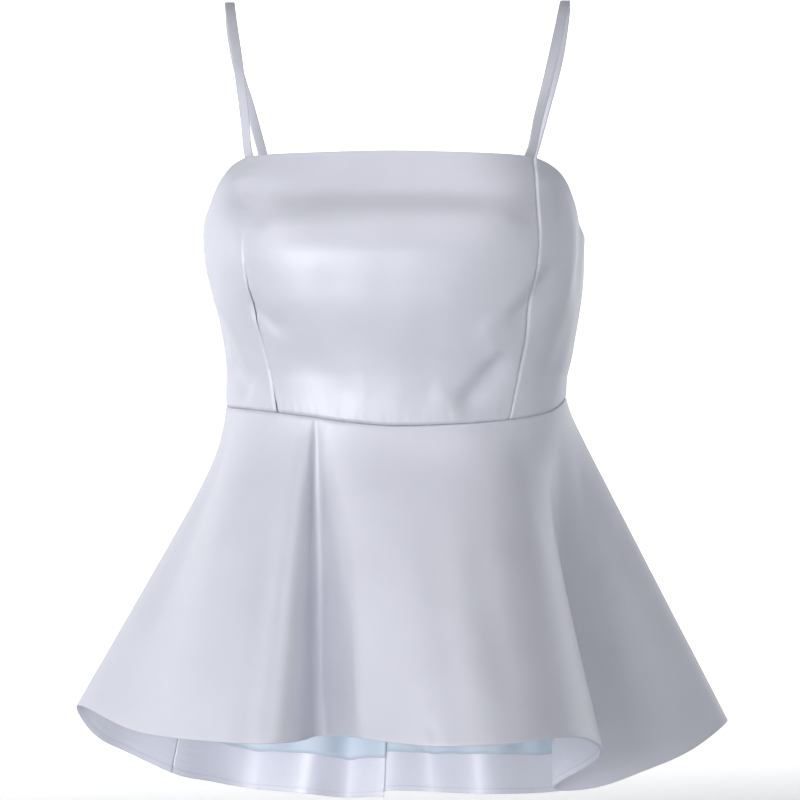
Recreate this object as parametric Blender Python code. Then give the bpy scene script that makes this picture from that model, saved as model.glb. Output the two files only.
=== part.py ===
"""Strappy satin top with a fitted, princess-seamed bodice and a flared peplum, filled out as if worn.

Frame: metres, +Z up, the front faces -Y. The origin is midway between the two places where the straps
lie on a wearer's shoulders. A bearing is an angle round the body in degrees: 0 is centre front, 90 the
+X side, 180 centre back and -90 the -X side. Left and right are as seen from the front.
Lengths in the tables are in millimetres.
"""

from collections import namedtuple

import bpy
import numpy as np

MM = 0.001

# Cloth: each layer lies a layer gap inside the one before, and panels part by a seam gap
CLOTH_THICKNESS = 1.6 * MM
FACING_THICKNESS = 1.0 * MM
LINING_THICKNESS = 1.0 * MM
LAYER_GAP = 0.4 * MM
SEAM_GAP = 0.3 * MM
SECOND_LAYER = CLOTH_THICKNESS + LAYER_GAP
THIRD_LAYER = SECOND_LAYER + FACING_THICKNESS + LAYER_GAP

# Bodice
SIDE_SEAM_BEARING = 104.0
BACK_SQUARENESS = 2.3

# Peplum: the left half of its back hangs a little lower at the centre back
FACING_DEPTH = 41 * MM
FACING_ABOVE_HEM = 0.8 * MM
LINING_OVER_FACING = 5 * MM
HEM_STEP = 5 * MM
HEM_STEP_FADE = 60 * MM

# Straps
STRAP_WIDTH = 8.0 * MM
STRAP_THICKNESS = 1.4 * MM
STRAP_CLEARANCE = 0.9 * MM

# Centre-back zip: a tape inside, a slider outside and a pull that hangs from the slider's bridge
TAPE_WIDTH = 24 * MM
TAPE_THICKNESS = 0.8 * MM
TAPE_BELOW_EDGE = 3 * MM
TAPE_INTO_PEPLUM = 0.22
SLIDER_BELOW_EDGE = 12 * MM
SLIDER_WIDTH = 5.0 * MM
SLIDER_LENGTH = 9.0 * MM
SLIDER_THICKNESS = 1.2 * MM
BRIDGE_WIDTH = 2.0 * MM
BRIDGE_HALF_LENGTH = 3.2 * MM
BRIDGE_HEIGHT = 2.9 * MM
BRIDGE_THICKNESS = 0.9 * MM
PULL_AXIS_HEIGHT = 1.0 * MM
PULL_WIDTH = 5.2 * MM
PULL_LENGTH = 25 * MM
PULL_THICKNESS = 1.0 * MM
PULL_BAR = 1.0 * MM
WINDOW_WIDTH = 3.2 * MM
WINDOW_END = 3.9 * MM
CHAMFER = 0.2 * MM

Finish = namedtuple("Finish", "name colour roughness metallic")
SATIN = Finish("satin", (0.60, 0.64, 0.74), 0.32, 0.0)
FACING_SATIN = Finish("facing_satin", (0.60, 0.64, 0.74), 0.38, 0.0)
LINING_CLOTH = Finish("lining_cloth", (0.58, 0.66, 0.77), 0.6, 0.0)
TAPE_CLOTH = Finish("tape_cloth", (0.55, 0.60, 0.71), 0.8, 0.0)
ZIP_ENAMEL = Finish("zip_enamel", (0.56, 0.61, 0.71), 0.35, 0.0)

# Level sections of the bodice: half widths to each side of the axis, and depths ahead and behind
Section = namedtuple("Section", "height left right front_depth back_depth squareness")
SECTIONS = (
    Section(-350, 136, 137.5, 97, 90, 2.4),
    Section(-322, 134.8, 137, 97, 90, 2.4),
    Section(-302, 133.6, 137.5, 99, 91, 2.4),
    Section(-288, 134.2, 140, 102, 92, 2.45),
    Section(-274, 136.6, 142.3, 106, 93, 2.5),
    Section(-237, 145.5, 148.3, 116, 96, 2.7),
    Section(-207, 151, 151, 119, 98, 2.8),
    Section(-187, 152.4, 151.8, 115, 98, 2.8),
    Section(-150, 148, 148, 100, 94, 2.7),
    Section(-124, 140, 140, 88, 90, 2.6),
    Section(-105, 132, 132, 82, 84, 2.6),
)

EdgePoint = namedtuple("EdgePoint", "bearing height")
TOP_EDGE = (
    EdgePoint(-180, -184),
    EdgePoint(-130, -184.5),
    EdgePoint(-104, -189),
    EdgePoint(-90, -188.5),
    EdgePoint(-81, -183),
    EdgePoint(-75, -174),
    EdgePoint(-71, -163),
    EdgePoint(-69.4, -153),
    EdgePoint(-67.4, -143.5),
    EdgePoint(-65, -134.5),
    EdgePoint(-62.5, -130.7),
    EdgePoint(-59, -127.8),
    EdgePoint(-40, -125.8),
    EdgePoint(0, -124.4),
    EdgePoint(40, -126.0),
    EdgePoint(58, -128.4),
    EdgePoint(62.5, -131.5),
    EdgePoint(65.4, -135.3),
    EdgePoint(67.9, -140.6),
    EdgePoint(70.2, -150),
    EdgePoint(71.6, -160),
    EdgePoint(74, -170),
    EdgePoint(78, -181),
    EdgePoint(83, -188),
    EdgePoint(93, -190),
    EdgePoint(104, -189),
    EdgePoint(130, -184.5),
    EdgePoint(180, -184),
)
WAIST_SEAM = (
    EdgePoint(-180, -316),
    EdgePoint(-120, -318.5),
    EdgePoint(-96, -322.5),
    EdgePoint(-60, -326.2),
    EdgePoint(-38, -330.7),
    EdgePoint(-20, -335.6),
    EdgePoint(5, -338.7),
    EdgePoint(34, -336.8),
    EdgePoint(51, -333.8),
    EdgePoint(69, -327.6),
    EdgePoint(78, -321.8),
    EdgePoint(88, -316.8),
    EdgePoint(120, -315),
    EdgePoint(180, -316),
)

# How far the left and right princess seams stand from the centre front
SeamPoint = namedtuple("SeamPoint", "height left right")
PRINCESS_SEAMS = (
    SeamPoint(-355, 82, 90),
    SeamPoint(-330, 86.8, 94.4),
    SeamPoint(-303, 92.6, 100.2),
    SeamPoint(-272, 99.8, 106.7),
    SeamPoint(-243, 106.8, 112),
    SeamPoint(-215, 112.1, 115.9),
    SeamPoint(-195, 114.8, 117.2),
    SeamPoint(-163, 116.2, 115.8),
    SeamPoint(-131, 114.2, 112.2),
    SeamPoint(-105, 111, 109),
)

# The peplum's ridges, valleys and turns, from centre back round by the left side and the front.
# x, y and z are where the hem lies; the cloth there hangs from the waist seam at waist_bearing.
# drop is the share of its height over which it hangs straight before it flares.
Fold = namedtuple("Fold", "name waist_bearing x y z drop")
FOLDS = (
    Fold("centre_back", -180, -18, 168, -649, 0.02),
    Fold("back_left_ridge", -170, -52, 181, -653.5, 0.02),
    Fold("back_left_valley", -157, -83, 150, -648.5, 0.05),
    Fold("back_left_cone", -140, -130, 174, -648, 0.02),
    Fold("back_left_turn", -124, -165, 140, -638.5, 0.02),
    Fold("left_side_seam", -105, -188, 92, -628, 0.03),
    Fold("left_back_lift", -97, -226, 46, -604, 0.06),
    Fold("left_back_tip", -91, -245, 14, -588, 0.10),
    Fold("left_tip", -86, -255, -12, -566, 0.12),
    Fold("left_cone_side", -75, -219, -70, -571, 0.10),
    Fold("left_cone", -62, -172, -130, -577.5, 0.05),
    Fold("left_cone_front", -49, -128, -175, -577, 0.03),
    Fold("front_left_ridge", -39.5, -87, -199, -576, 0.03),
    Fold("front_left_turn", -35, -64, -187, -575.6, 0.05),
    Fold("front_valley", -30, -48, -151, -574.3, 0.08),
    Fold("front_rise", -24, -25, -180, -572.3, 0.06),
    Fold("front_cone_left", -10, 12, -214, -574, 0.04),
    Fold("front_cone", 10, 54, -231, -574.3, 0.03),
    Fold("front_cone_right", 30, 93, -226, -572.8, 0.03),
    Fold("front_fold_shoulder", 43, 127, -205, -570.5, 0.03),
    Fold("front_fold_lip", 49, 149, -177, -572.5, 0.03),
    Fold("front_fold_tip", 55, 165.5, -126, -585, 0.03),
    Fold("fold_return", 64, 152, -62, -607, 0.04),
    Fold("right_valley", 74, 130, -14, -629, 0.04),
    Fold("right_cone_start", 79, 158, 1, -629, 0.02),
    Fold("right_cone", 86, 197, 11, -617, 0.0),
    Fold("right_front_tip", 92, 238, 26, -600, 0.0),
    Fold("right_tip", 98, 267.5, 58, -580, 0.0),
    Fold("right_side_seam", 105, 254, 104, -592, 0.02),
    Fold("right_back_slope", 118, 207, 152, -622, 0.02),
    Fold("back_right_cone", 134, 147, 189, -647.5, 0.02),
    Fold("back_right_turn", 148, 94, 164, -650.5, 0.03),
    Fold("back_right_valley", 158, 62, 148, -649, 0.05),
    Fold("back_right_ridge", 170, 21, 182, -651, 0.02),
)

# A strap's centre line from its front end, over the shoulder, to its back end. Where y is None it lies
# against the inside of the bodice, ahead or behind.
PathPoint = namedtuple("PathPoint", "place left right y z")
STRAP_PATH = (
    PathPoint("front", -111.0, 108.0, None, -139),
    PathPoint("front", -112.0, 109.3, None, -130),
    PathPoint("chest", -112.7, 110.4, -60.0, -123),
    PathPoint("chest", -115.4, 114.9, -53, -100),
    PathPoint("chest", -120.0, 122.0, -40, -70),
    PathPoint("chest", -124.4, 127.2, -26, -45),
    PathPoint("shoulder", -129.9, 132.2, -6, -19),
    PathPoint("shoulder", -133.7, 135.0, 14, -2.5),
    PathPoint("shoulder", -135.7, 135.8, 29, 2.4),
    PathPoint("shoulder", -137.0, 136.0, 42, -0.5),
    PathPoint("shoulder", -137.0, 134.5, 54, -14),
    PathPoint("shoulder_blade", -133.9, 130.2, 65, -40),
    PathPoint("shoulder_blade", -123.0, 119.5, 75, -80),
    PathPoint("shoulder_blade", -112.3, 108.5, 79, -120),
    PathPoint("shoulder_blade", -102.0, 98.0, 79.5, -158),
    PathPoint("back", -95.6, 91.6, None, -183),
    PathPoint("back", -93.0, 89.0, None, -196),
)


def column(table, name):
    return np.array([getattr(row, name) for row in table], float)


def smooth(knots, values, at):
    """A smooth curve through the points that never overshoots them: cubic pieces with limited slopes."""
    step = np.diff(knots)
    slope = np.diff(values) / step
    same_way = slope[:-1] * slope[1:] > 0
    before, after = 2 * step[1:] + step[:-1], step[1:] + 2 * step[:-1]
    slope_before = np.where(same_way, slope[:-1], 1.0)
    slope_after = np.where(same_way, slope[1:], 1.0)
    mean = (before + after) / (before / slope_before + after / slope_after)
    tangent = np.concatenate([slope[:1], np.where(same_way, mean, 0.0), slope[-1:]])
    at = np.clip(at, knots[0], knots[-1])
    i = np.clip(np.searchsorted(knots, at, side="right") - 1, 0, len(step) - 1)
    t = (at - knots[i]) / step[i]
    rise = (3 - 2 * t) * t * t * (values[i + 1] - values[i])
    lean = t * (1 - t) * ((1 - t) * tangent[i] - t * tangent[i + 1]) * step[i]
    return values[i] + rise + lean


def ring_slopes(knots, values):
    """Slopes at the knots of the closed cubic curve through the values, whose bending is continuous.
    The last knot is the first again."""
    count = len(knots) - 1
    step = np.diff(knots)
    rise = np.diff(values, axis=0) / step[:, None]
    matrix = np.zeros((count, count))
    right = np.zeros((count, values.shape[1]))
    for i in range(count):
        matrix[i, i - 1] += step[i]
        matrix[i, i] += 2 * (step[i - 1] + step[i])
        matrix[i, (i + 1) % count] += step[i - 1]
        right[i] = 3 * (step[i] * rise[i - 1] + step[i - 1] * rise[i])
    slopes = np.linalg.solve(matrix, right)
    return np.concatenate([slopes, slopes[:1]])


def unit(vectors):
    return vectors / np.linalg.norm(vectors, axis=-1, keepdims=True)


def distances_along(points):
    steps = np.linalg.norm(np.diff(points, axis=0), axis=1)
    return np.concatenate([[0], np.cumsum(steps)])


def body_radius(bearing, height):
    """Distance from the body's axis to the cloth's outer face: a rounded-square oval at each height."""
    across, ahead = np.sin(np.radians(bearing)), np.cos(np.radians(bearing))
    heights = column(SECTIONS, "height")

    def size(name):
        return smooth(heights, column(SECTIONS, name), height / MM)

    width = np.where(across < 0, size("left"), size("right"))
    depth = np.where(ahead > 0, size("front_depth"), size("back_depth"))
    power = np.where(ahead > 0, size("squareness"), BACK_SQUARENESS)
    return MM * ((np.abs(across) / width) ** power + (np.abs(ahead) / depth) ** power) ** (-1 / power)


def on_body(bearing, height):
    """The point of the cloth's outer face at that bearing and height."""
    radius = body_radius(bearing, height)
    across, ahead = np.sin(np.radians(bearing)), np.cos(np.radians(bearing))
    return np.stack([radius * across, -radius * ahead, height + 0 * radius], -1)


def body_normal(bearing, height):
    """Outward normal of the body, from points a hair apart."""
    beside = on_body(bearing + 0.01, height) - on_body(bearing - 0.01, height)
    below = on_body(bearing, height - 0.01 * MM) - on_body(bearing, height + 0.01 * MM)
    return unit(np.cross(below, beside))


def edge_height(table, bearing):
    return MM * smooth(column(table, "bearing"), column(table, "height"), bearing)


def princess_bearing(side, height):
    """Bearing of a princess seam: where the body's oval is as far across as the seam stands.
    Found by halving the range."""
    name = "left" if side < 0 else "right"
    spread = MM * smooth(column(PRINCESS_SEAMS, "height"), column(PRINCESS_SEAMS, name), height / MM)
    low, high = np.full(height.shape, 20.0), np.full(height.shape, 85.0)
    for _ in range(25):
        middle = (low + high) / 2
        too_wide = np.abs(on_body(side * middle, height)[..., 0]) > spread
        low, high = np.where(too_wide, low, middle), np.where(too_wide, middle, high)
    return side * (low + high) / 2


def bodice_bearings(start, end, share, height):
    """Bearings at shares of the way across a panel. Each of its seams is a bearing or, for a princess
    seam, the name of its side."""
    sides = {"left": -1, "right": 1}
    edges = []
    for seam, inward in ((start, 1), (end, -1)):
        if seam in sides:
            bearing = princess_bearing(sides[seam], height)
        else:
            bearing = np.full(height.shape, float(seam))
        edges.append(bearing + inward * np.degrees(SEAM_GAP / 2 / body_radius(bearing, height)))
    return edges[0] + (edges[1] - edges[0]) * share


def bodice_panel(start, end, columns, rows):
    """Bearings and heights of a panel's points between two seams. Rows run from the top edge down to
    the waist seam, and columns part the top edge into equal lengths."""
    share = np.linspace(0, 1, 200)
    for down in (np.zeros(1), np.linspace(0, 1, rows)):
        height = np.full((len(down), len(share)), -0.25)
        for _ in range(12):
            bearing = bodice_bearings(start, end, share, height)
            top = edge_height(TOP_EDGE, bearing)
            bottom = edge_height(WAIST_SEAM, bearing) + SEAM_GAP / 2
            height = top + (bottom - top) * down[:, None]
        if len(down) == 1:
            walked = distances_along(on_body(bearing[0], height[0]))
            share = np.interp(np.linspace(0, walked[-1], columns), walked, share)
    return bearing, height


def hem_knots():
    """The folds' points round the hem, back to the first, and how far along each is."""
    points = np.stack([column(FOLDS, axis) for axis in "xyz"], -1)
    points = np.concatenate([points, points[:1]])
    return distances_along(points), points


KNOTS, KNOT_POINTS = hem_knots()
KNOT_SLOPES = ring_slopes(KNOTS, KNOT_POINTS)
HEM_LENGTH = KNOTS[-1]


def hem_points(along):
    """Points of the hem that far along it, in metres."""
    i = np.clip(np.searchsorted(KNOTS, along, side="right") - 1, 0, len(KNOTS) - 2)
    step = KNOTS[i + 1] - KNOTS[i]
    t = ((along - KNOTS[i]) / step)[..., None]
    ease = t * t * (3 - 2 * t)
    lean = t * (1 - t) * ((1 - t) * KNOT_SLOPES[i] - t * KNOT_SLOPES[i + 1]) * step[..., None]
    points = MM * (KNOT_POINTS[i] * (1 - ease) + KNOT_POINTS[i + 1] * ease + lean)
    points[..., 2] -= HEM_STEP * np.exp(-along * MM / HEM_STEP_FADE)
    return points


def waist_bearing(along):
    return smooth(KNOTS, np.append(column(FOLDS, "waist_bearing"), 180), along)


def along_at_bearing(bearing):
    """How far along the hem the cloth hangs that is sewn to the waist seam at that bearing."""
    dense = np.linspace(0, HEM_LENGTH, 4000)
    return np.interp(bearing, waist_bearing(dense), dense)


def flare(down, drop):
    """Share of the way out to the hem at a share of the height: a ramp that begins softly after drop."""
    soft = 0.03 + 0.35 * drop

    def ramp(value):
        return soft * np.logaddexp(0, (value - drop) / soft)

    return (ramp(down) - ramp(0)) / (ramp(1) - ramp(0))


def on_peplum(along, down):
    """The peplum's outer face that far along the hem, at a share of the height down from the waist
    seam. Each fold line runs from the seam out to the hem, straight but for the drop at its top."""
    bearing = waist_bearing(along)
    waist = on_body(bearing, edge_height(WAIST_SEAM, bearing) - SEAM_GAP / 2)
    hem = hem_points(along)
    drop = smooth(KNOTS, np.append(column(FOLDS, "drop"), FOLDS[0].drop), along)
    points = waist + (hem - waist) * flare(down, drop)[..., None]
    points[..., 2] = waist[..., 2] + (hem[..., 2] - waist[..., 2]) * down
    return points


def peplum_normal(along, down):
    """Outward normal of the peplum, from points a hair apart."""
    down = np.clip(down, 0.001, 0.999)
    beside = on_peplum(along + 0.05, down) - on_peplum(along - 0.05, down)
    below = on_peplum(along, down + 0.001) - on_peplum(along, down - 0.001)
    return unit(np.cross(below, beside))


def hem_stretch(along, down):
    """Metres across the cloth there for each millimetre along the hem."""
    beside = on_peplum(along + 0.05, down) - on_peplum(along - 0.05, down)
    return np.linalg.norm(beside, axis=-1) / 0.1


def fold_shares(start, end, count):
    """Shares of the way from start to end for a panel's columns, closer where the hem turns tightly."""
    along = np.linspace(start, end, 800)
    heading = unit(np.gradient(hem_points(along), axis=0))
    turning = np.linalg.norm(np.gradient(heading, along, axis=0), axis=1)
    weight = 1 + 28 * np.sqrt(turning)
    walked = np.concatenate([[0], np.cumsum((weight[1:] + weight[:-1]) / 2)])
    return np.interp(np.linspace(0, walked[-1], count), walked, np.linspace(0, 1, 800))


def peplum_panel(start, end, columns, down):
    """Distances along the hem and shares of the height of a panel's points, with half a seam gap kept
    from its seams. down has a row for each row of points."""
    down = np.broadcast_to(down, (len(down), columns))
    edges = []
    for seam, inward in ((start, 1), (end, -1)):
        along = np.full((len(down), 1), float(seam))
        edges.append(along + inward * SEAM_GAP / 2 / hem_stretch(along, down[:, :1]))
    return edges[0] + (edges[1] - edges[0]) * fold_shares(start, end, columns), down


def facing_top(along):
    """Share of the height at which the facing inside the hem begins, and the height itself."""
    length = np.linalg.norm(on_peplum(along, along * 0 + 1) - on_peplum(along, along * 0), axis=-1)
    return 1 - FACING_DEPTH / length, length


def solid_mesh(name, points, faces):
    """A mesh of a closed solid, with its faces turned to point out."""
    mesh = bpy.data.meshes.new(name)
    mesh.from_pydata(points.tolist(), [], faces)
    corners = np.array([triangle.vertices[:] for triangle in mesh.loop_triangles])
    first, second, third = (points[corners[:, i]] for i in range(3))
    if (first * np.cross(second, third)).sum() < 0:
        mesh.flip_normals()
    return mesh


def wall_mesh(name, outer, inner):
    """A closed wall between two grids of points of the same shape."""
    rows, columns = outer.shape[:2]
    points = np.concatenate([outer.reshape(-1, 3), inner.reshape(-1, 3)])
    index = np.arange(rows * columns).reshape(rows, columns)
    front = np.stack([index[:-1, :-1], index[1:, :-1], index[1:, 1:], index[:-1, 1:]], -1).reshape(-1, 4)
    back = front[:, ::-1] + rows * columns
    ring = np.concatenate([index[0, ::-1], index[1:, 0], index[-1, 1:], index[-2:0:-1, -1]])
    after = np.roll(ring, -1)
    rim = np.stack([ring, ring + rows * columns, after + rows * columns, after], -1)
    return solid_mesh(name, points, np.concatenate([front, back, rim]).tolist())


def tube_mesh(name, rings, closed=False):
    """A solid from rings of points. The rings run on into the first again, or end in flat caps."""
    count, sides = rings.shape[:2]
    index = np.arange(count * sides).reshape(count, sides)
    start, end = (index, np.roll(index, -1, axis=0)) if closed else (index[:-1], index[1:])
    walls = np.stack([start, np.roll(start, -1, axis=1), np.roll(end, -1, axis=1), end], -1)
    faces = walls.reshape(-1, 4).tolist()
    if not closed:
        faces += [index[0, ::-1].tolist(), index[-1].tolist()]
    return solid_mesh(name, rings.reshape(-1, 3), faces)


def finish_material(finish):
    found = bpy.data.materials.get(finish.name)
    if found:
        return found
    made = bpy.data.materials.new(finish.name)
    made.use_nodes = True
    shader = made.node_tree.nodes["Principled BSDF"]
    shader.inputs["Base Color"].default_value = (*finish.colour, 1)
    shader.inputs["Roughness"].default_value = finish.roughness
    shader.inputs["Metallic"].default_value = finish.metallic
    return made


def add_object(name, mesh, finish):
    made = bpy.data.objects.new(name, mesh)
    bpy.context.scene.collection.objects.link(made)
    mesh.materials.append(finish_material(finish))
    mesh.shade_smooth()
    mesh.set_sharp_from_angle(angle=np.radians(40))
    return made


def add_bodice():
    """Front, two side fronts and two backs, parted at the princess, side and centre-back seams."""
    side = SIDE_SEAM_BEARING
    panels = (
        ("bodice_back_left", -180, -side, 14, 10),
        ("bodice_side_front_left", -side, "left", 17, 15),
        ("bodice_front", "left", "right", 25, 15),
        ("bodice_side_front_right", "right", side, 17, 15),
        ("bodice_back_right", side, 180, 14, 10),
    )
    for name, start, end, columns, rows in panels:
        bearing, height = bodice_panel(start, end, columns, rows)
        outer = on_body(bearing, height)
        inner = outer - CLOTH_THICKNESS * body_normal(bearing, height)
        add_object(name, wall_mesh(name, outer, inner), SATIN)


def add_layer(name, panel, depth, thickness, finish):
    """A layer of the peplum whose outer face lies that deep inside the peplum's outer face."""
    face, normal = on_peplum(*panel), peplum_normal(*panel)
    outer, inner = face - depth * normal, face - (depth + thickness) * normal
    add_object(name, wall_mesh(name, outer, inner), finish)


def add_peplum():
    """The flared lower part: a front and two backs, each with a facing inside its hem. Inside the two
    backs a lining hangs from the waist seam to just over the facing."""
    left, right = along_at_bearing(-SIDE_SEAM_BEARING), along_at_bearing(SIDE_SEAM_BEARING)
    panels = (("back_left", 0, left, 27), ("front", left, right, 75), ("back_right", right, HEM_LENGTH, 27))
    for name, *seams, columns in panels:
        shell = peplum_panel(*seams, columns, np.linspace(0, 1, 11)[:, None])
        add_layer("peplum_" + name, shell, 0, CLOTH_THICKNESS, SATIN)
        top, length = facing_top(shell[0][-1:])
        bottom = 1 - FACING_ABOVE_HEM / length
        strip = peplum_panel(*seams, columns, top + (bottom - top) * np.array([[0], [0.5], [1]]))
        add_layer("hem_facing_" + name, strip, SECOND_LAYER, FACING_THICKNESS, FACING_SATIN)
        if name == "front":
            continue
        bottom = top + LINING_OVER_FACING / length
        rows = np.linspace(0, 1, 9)[:, None] ** 1.7
        hanging = peplum_panel(*seams, columns, 0.01 + (bottom - 0.01) * rows)
        add_layer("lining_" + name, hanging, THIRD_LAYER, LINING_THICKNESS, LINING_CLOTH)


def against_body(x, height, place):
    """The point at that x and height midway through a strap's thickness, inside the bodice wall, and
    the level direction along the wall there."""
    low, high = (0.0, 89.0) if place == "front" else (91.0, 180.0)
    for _ in range(30):
        middle = (low + high) / 2
        too_near = abs(on_body(np.array(middle * np.sign(x)), height)[0]) < abs(x)
        low, high = (middle, high) if too_near == (place == "front") else (low, middle)
    bearing = np.array(middle * np.sign(x))
    depth = CLOTH_THICKNESS + STRAP_CLEARANCE + STRAP_THICKNESS / 2
    normal = body_normal(bearing, height)
    beside = unit(np.cross(normal, [0, 0, 1.0]))
    return on_body(bearing, height) - depth * normal, beside if beside[0] < 0 else -beside


def add_strap(name, side):
    """A flat strap that ends inside the bodice's top edge, ahead and behind. It lies flat on the body
    at its ends and on the shoulder, and turns evenly between."""
    points, turns = [], []
    for number, row in enumerate(STRAP_PATH):
        x, height = getattr(row, side) * MM, np.array(row.z * MM)
        if row.y is None:
            point, wide = against_body(x, height, row.place)
            turns.append((number, wide))
        else:
            point = np.array([x, row.y * MM, height])
        if row.place == "shoulder":
            turns.append((number, np.array([-1.0, 0, 0])))
        points.append(point)
    points = np.array(points)
    knots = distances_along(points)
    at = np.linspace(0, knots[-1], 47)
    turn_knots, turn_values = knots[[number for number, _ in turns]], np.array([wide for _, wide in turns])
    line = np.stack([smooth(knots, points[:, axis], at) for axis in range(3)], -1)
    wide = np.stack([smooth(turn_knots, turn_values[:, axis], at) for axis in range(3)], -1)
    heading = unit(np.gradient(line, axis=0))
    wide = unit(wide - (wide * heading).sum(-1, keepdims=True) * heading)
    face = np.cross(heading, wide)
    corners = ((-1, -1), (1, -1), (1, 1), (-1, 1))
    rings = [line + wide * STRAP_WIDTH / 2 * i + face * STRAP_THICKNESS / 2 * j for i, j in corners]
    add_object(name, tube_mesh(name, np.stack(rings, 1)), SATIN)


def add_zip_tape():
    """A strip of tape inside the centre-back seam, from the top edge down into the peplum."""
    offset = TAPE_WIDTH * np.linspace(-0.5, 0.5, 5)
    top, waist = edge_height(TOP_EDGE, 180.0) - TAPE_BELOW_EDGE, edge_height(WAIST_SEAM, 180.0)
    height = np.linspace(top, waist + 2 * MM, 9)[:, None] + 0 * offset
    bearing = 180 + np.degrees(offset / body_radius(180.0, height))
    upper, upper_normal = on_body(bearing, height), body_normal(bearing, height)
    down = np.linspace(0.01, TAPE_INTO_PEPLUM, 6)[:, None] + 0 * offset
    along = np.where(offset < 0, HEM_LENGTH, 0) + offset / hem_stretch(0 * down + 1, down)
    lower, lower_normal = on_peplum(along, down), peplum_normal(along, down)
    face, normal = np.concatenate([upper, lower]), np.concatenate([upper_normal, lower_normal])
    outer, inner = face - SECOND_LAYER * normal, face - (SECOND_LAYER + TAPE_THICKNESS) * normal
    add_object("zip_tape", wall_mesh("zip_tape", outer, inner), TAPE_CLOTH)


def rounded_loop(half_width, low, high, radius):
    """Points round an upright rectangle with rounded corners, in the plane y = 0."""
    turn = np.radians(np.linspace(0, 90, 6))
    loop = []
    for corner, (x, z) in enumerate(((1, 1), (-1, 1), (-1, -1), (1, -1))):
        angle = turn + np.radians(90) * corner
        middle_x, middle_z = x * (half_width - radius), (high - radius) if z > 0 else (low + radius)
        across, up = middle_x + radius * np.cos(angle), middle_z + radius * np.sin(angle)
        loop.append(np.stack([across, 0 * across, up], -1))
    return np.concatenate(loop)


def layered(loops_at_depths):
    """Rings for a flat piece: each loop moved to its depth along Y."""
    return np.stack([loop + np.array([0, depth, 0]) for loop, depth in loops_at_depths])


def add_zip_slider(axis):
    """The slider outside the centre-back seam: a plate with a bridge that the pull hangs from."""
    half_width, half_length = SLIDER_WIDTH / 2, SLIDER_LENGTH / 2
    outline = rounded_loop(half_width, -half_length, half_length, 1.4 * MM)
    inset = rounded_loop(half_width - CHAMFER, CHAMFER - half_length, half_length - CHAMFER, 1.2 * MM)
    back = -SLIDER_THICKNESS
    rings = layered(((inset, back), (outline, back + CHAMFER), (outline, -CHAMFER), (inset, 0)))
    origin = np.array(axis) - np.array([0, PULL_AXIS_HEIGHT, 0])
    plate = add_object("zip_slider", tube_mesh("zip_slider", rings + origin), ZIP_ENAMEL)
    turn = np.radians(np.linspace(0, 180, 17))
    corners = []
    for x, shrink in ((-1, 0), (1, 0), (1, BRIDGE_THICKNESS), (-1, BRIDGE_THICKNESS)):
        out = (BRIDGE_HEIGHT - shrink) * np.sin(turn)
        out[[0, -1]] = -0.5 * MM
        up = (BRIDGE_HALF_LENGTH - shrink) * np.cos(turn)
        corners.append(np.stack([0 * up + x * BRIDGE_WIDTH / 2, out, up], -1))
    bridge_mesh = tube_mesh("zip_slider_bridge", np.stack(corners, 1) + origin)
    bridge = add_object("zip_slider_bridge", bridge_mesh, ZIP_ENAMEL)
    bridge.display_type = "WIRE"
    bridge.hide_render = True
    join = plate.modifiers.new("Bridge", "BOOLEAN")
    join.operation = "UNION"
    join.solver = "EXACT"
    join.object = bridge


def add_zip_pull(axis):
    """The pull: a flat tab with a window at its top, whose upper bar turns inside the bridge."""
    half_width, half_window, bar = PULL_WIDTH / 2, WINDOW_WIDTH / 2, PULL_BAR / 2
    outline = rounded_loop(half_width, -PULL_LENGTH, bar, 0.9 * MM)
    inset = rounded_loop(half_width - CHAMFER, CHAMFER - PULL_LENGTH, bar - CHAMFER, 0.7 * MM)
    window = rounded_loop(half_window, -WINDOW_END, -bar, 0.3 * MM)
    wider = rounded_loop(half_window + CHAMFER, -WINDOW_END - CHAMFER, CHAMFER - bar, 0.5 * MM)
    face, edge = PULL_THICKNESS / 2, PULL_THICKNESS / 2 - CHAMFER
    outside = ((inset, -face), (outline, -edge), (outline, edge), (inset, face))
    inside = ((wider, face), (window, edge), (window, -edge), (wider, -face))
    pull_mesh = tube_mesh("zip_pull", layered(outside + inside), closed=True)
    pull = add_object("zip_pull", pull_mesh, ZIP_ENAMEL)
    pull.location = axis


def main():
    for found in list(bpy.data.objects):
        bpy.data.objects.remove(found)
    add_bodice()
    add_peplum()
    add_strap("strap_left", "left")
    add_strap("strap_right", "right")
    add_zip_tape()
    height = edge_height(TOP_EDGE, 180.0) - SLIDER_BELOW_EDGE
    beside_slider = height + SLIDER_LENGTH * np.linspace(-0.5, 0.5, 5)
    cloth = on_body(180.0 + 0 * beside_slider, beside_slider)[:, 1].max()
    axis = (0.0, cloth + LAYER_GAP + SLIDER_THICKNESS + PULL_AXIS_HEIGHT, height)
    add_zip_slider(axis)
    add_zip_pull(axis)


main()
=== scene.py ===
"""Looks of a strappy satin top: thin cloth with folds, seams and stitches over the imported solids.

Frame: metres, +Z up, the front faces -Y. The origin is midway between the places where the straps lie on
the shoulders. A bearing is an angle round the body in degrees: 0 is centre front, 90 the +X side, 180
centre back. Left and right are as seen from the front. Lengths in the tables are in millimetres.
"""

from collections import namedtuple

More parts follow.
